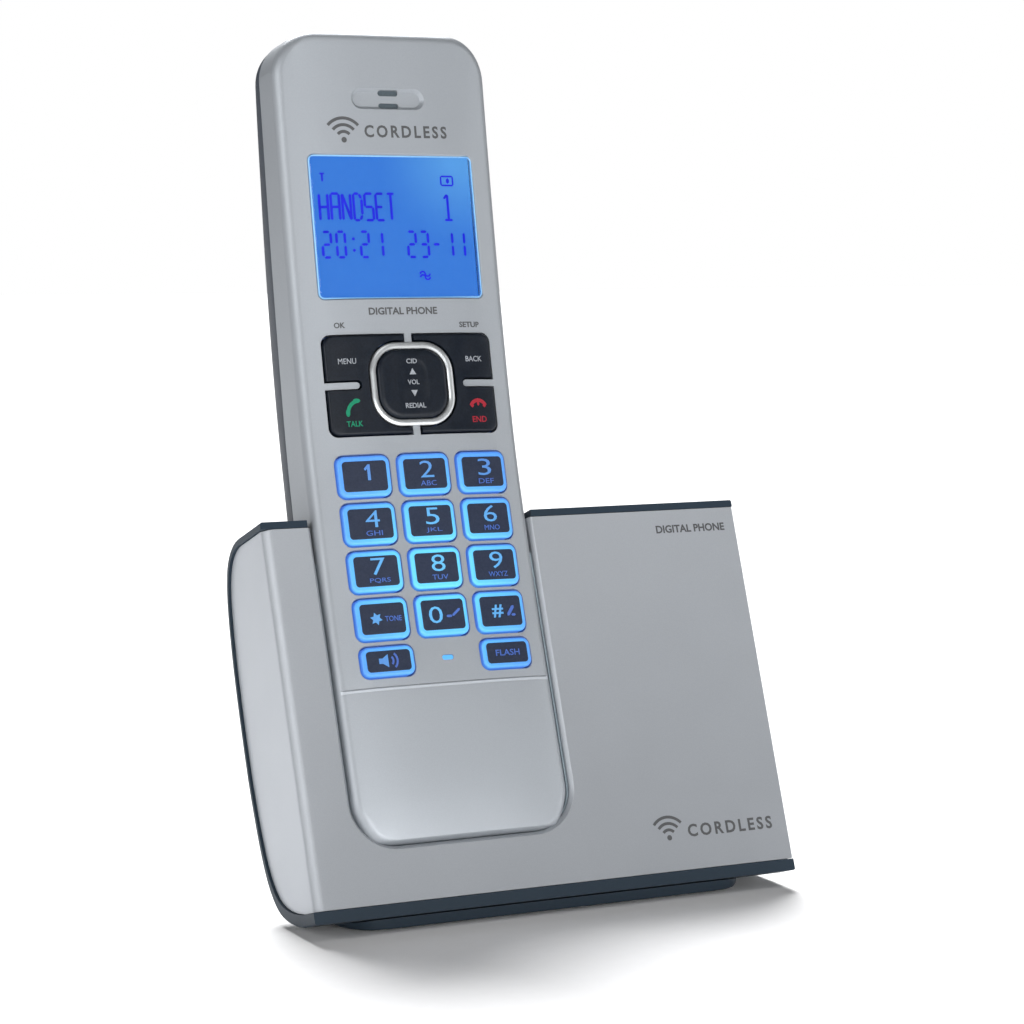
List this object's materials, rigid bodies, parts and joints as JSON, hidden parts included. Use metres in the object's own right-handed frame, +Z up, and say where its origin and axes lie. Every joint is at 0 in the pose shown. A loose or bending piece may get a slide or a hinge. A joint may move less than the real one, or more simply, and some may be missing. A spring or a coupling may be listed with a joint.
{
  "type": "cordless phone with base",
  "caption": "Desk cordless phone: a slim bowed handset with backlit keys and display stands in a leaning cradle base and lifts out.",
  "frame": {"origin": "centre of the footprint on the desk", "axes": "+X to the right as seen from the front, +Y to the back, +Z up"},
  "size_m": [0.1112, 0.0632, 0.1806],
  "materials": {
    "silver": "silver metallic paint, satin",
    "dark": "fine texture",
    "liner": "fine texture",
    "black": "gloss",
    "glow": "translucent, lit from behind",
    "screen": "clear window",
    "lcd": "lit display",
    "rubber": "matte",
    "mat": "translucent silicone",
    "board": "solder mask",
    "metal": "nickel plated",
    "steel": "plain",
    "cell": "wrapped cell"
  },
  "bodies": {
    "base": {"base_front_shell": "silver", "base_rear_housing": "dark", "cradle_liner": "liner", "base_pcb": "board", "base_stand": "dark", "base_bottom_cover": "dark", "line_jack": "black", "dc_jack": "black", "rubber_foot_1": "rubber", "rubber_foot_2": "rubber", "rubber_foot_3": "rubber", "rubber_foot_4": "rubber", "cover_screw_1": "steel", "cover_screw_2": "steel", "cover_screw_3": "steel", "cover_screw_4": "steel"},
    "handset": {"handset_front_shell": "silver", "handset_rear_shell": "dark", "battery_cell_left": "cell", "battery_cell_right": "cell", "battery_contact_bottom": "metal", "battery_contact_top": "metal", "lcd_window": "screen", "lcd_module": "lcd", "lcd_light_plate": "mat", "keypad_mat": "mat", "handset_pcb": "board", "earpiece_speaker": "steel", "ringer_speaker": "steel", "microphone": "steel", "handset_contact_left": "metal", "handset_contact_right": "metal", "handset_screw_left": "steel", "handset_screw_right": "steel"},
    "page_button": {"page_button": "dark"},
    "charge_pin_left": {"charge_pin_left": "metal"},
    "charge_pin_right": {"charge_pin_right": "metal"},
    "battery_door": {"battery_door": "dark"},
    "key_1": {"key_1": "glow"},
    "key_2": {"key_2": "glow"},
    "key_3": {"key_3": "glow"},
    "key_4": {"key_4": "glow"},
    "key_5": {"key_5": "glow"},
    "key_6": {"key_6": "glow"},
    "key_7": {"key_7": "glow"},
    "key_8": {"key_8": "glow"},
    "key_9": {"key_9": "glow"},
    "key_star": {"key_star": "glow"},
    "key_0": {"key_0": "glow"},
    "key_hash": {"key_hash": "glow"},
    "key_speaker": {"key_speaker": "glow"},
    "key_flash": {"key_flash": "glow"},
    "function_key_left": {"function_key_left": "black"},
    "function_key_right": {"function_key_right": "black"},
    "nav_key": {"nav_key": "black"}
  },
  "joints": [
    {"name": "handset_lift", "type": "slide", "parent": "base", "child": "handset", "axis": [0, 0.3387, 0.9409], "range_m": [0, 0.1]},
    {"name": "battery_door_hinge", "type": "hinge", "parent": "handset", "child": "battery_door", "pos_m": [-0.0198, 0.03088, 0.14008], "axis": [1, 0, 0], "range_deg": [0, 75]},
    {"name": "page_button_press", "type": "slide", "parent": "base", "child": "page_button", "axis": [0, -0.9409, 0.3387], "range_m": [0, 0.001], "stiffness_N_per_m": 700},
    {"name": "charge_pin_left_press", "type": "slide", "parent": "base", "child": "charge_pin_left", "axis": [0, -0.3387, -0.9409], "range_m": [0, 0.0012], "stiffness_N_per_m": 400},
    {"name": "charge_pin_right_press", "type": "slide", "parent": "base", "child": "charge_pin_right", "axis": [0, -0.3387, -0.9409], "range_m": [0, 0.0012], "stiffness_N_per_m": 400},
    {"name": "key_1_press", "type": "slide", "parent": "handset", "child": "key_1", "axis": [0, 0.9679, -0.2512], "range_m": [0, 0.001], "stiffness_N_per_m": 700},
    {"name": "key_2_press", "type": "slide", "parent": "handset", "child": "key_2", "axis": [0, 0.9679, -0.2512], "range_m": [0, 0.001], "stiffness_N_per_m": 700},
    {"name": "key_3_press", "type": "slide", "parent": "handset", "child": "key_3", "axis": [0, 0.9679, -0.2512], "range_m": [0, 0.001], "stiffness_N_per_m": 700},
    {"name": "key_4_press", "type": "slide", "parent": "handset", "child": "key_4", "axis": [0, 0.9629, -0.2698], "range_m": [0, 0.001], "stiffness_N_per_m": 700},
    {"name": "key_5_press", "type": "slide", "parent": "handset", "child": "key_5", "axis": [0, 0.9629, -0.2698], "range_m": [0, 0.001], "stiffness_N_per_m": 700},
    {"name": "key_6_press", "type": "slide", "parent": "handset", "child": "key_6", "axis": [0, 0.9629, -0.2698], "range_m": [0, 0.001], "stiffness_N_per_m": 700},
    {"name": "key_7_press", "type": "slide", "parent": "handset", "child": "key_7", "axis": [0, 0.9565, -0.2917], "range_m": [0, 0.001], "stiffness_N_per_m": 700},
    {"name": "key_8_press", "type": "slide", "parent": "handset", "child": "key_8", "axis": [0, 0.9565, -0.2917], "range_m": [0, 0.001], "stiffness_N_per_m": 700},
    {"name": "key_9_press", "type": "slide", "parent": "handset", "child": "key_9", "axis": [0, 0.9565, -0.2917], "range_m": [0, 0.001], "stiffness_N_per_m": 700},
    {"name": "key_star_press", "type": "slide", "parent": "handset", "child": "key_star", "axis": [0, 0.9483, -0.3174], "range_m": [0, 0.001], "stiffness_N_per_m": 700},
    {"name": "key_0_press", "type": "slide", "parent": "handset", "child": "key_0", "axis": [0, 0.9483, -0.3174], "range_m": [0, 0.001], "stiffness_N_per_m": 700},
    {"name": "key_hash_press", "type": "slide", "parent": "handset", "child": "key_hash", "axis": [0, 0.9483, -0.3174], "range_m": [0, 0.001], "stiffness_N_per_m": 700},
    {"name": "key_speaker_press", "type": "slide", "parent": "handset", "child": "key_speaker", "axis": [0, 0.9409, -0.3387], "range_m": [0, 0.001], "stiffness_N_per_m": 700},
    {"name": "key_flash_press", "type": "slide", "parent": "handset", "child": "key_flash", "axis": [0, 0.9409, -0.3387], "range_m": [0, 0.001], "stiffness_N_per_m": 700},
    {"name": "function_key_left_rock", "type": "hinge", "parent": "handset", "child": "function_key_left", "pos_m": [-0.0338, 0.00203, 0.10739], "axis": [1, 0, 0], "range_deg": [-3, 3], "stiffness_Nm_per_rad": 0.15},
    {"name": "function_key_right_rock", "type": "hinge", "parent": "handset", "child": "function_key_right", "pos_m": [-0.0058, 0.00203, 0.10739], "axis": [1, 0, 0], "range_deg": [-3, 3], "stiffness_Nm_per_rad": 0.15},
    {"name": "nav_key_rock", "type": "hinge", "parent": "handset", "child": "nav_key", "pos_m": [-0.0198, 0.00181, 0.10744], "axis": [1, 0, 0], "range_deg": [-3, 3], "stiffness_Nm_per_rad": 0.15}
  ]
}
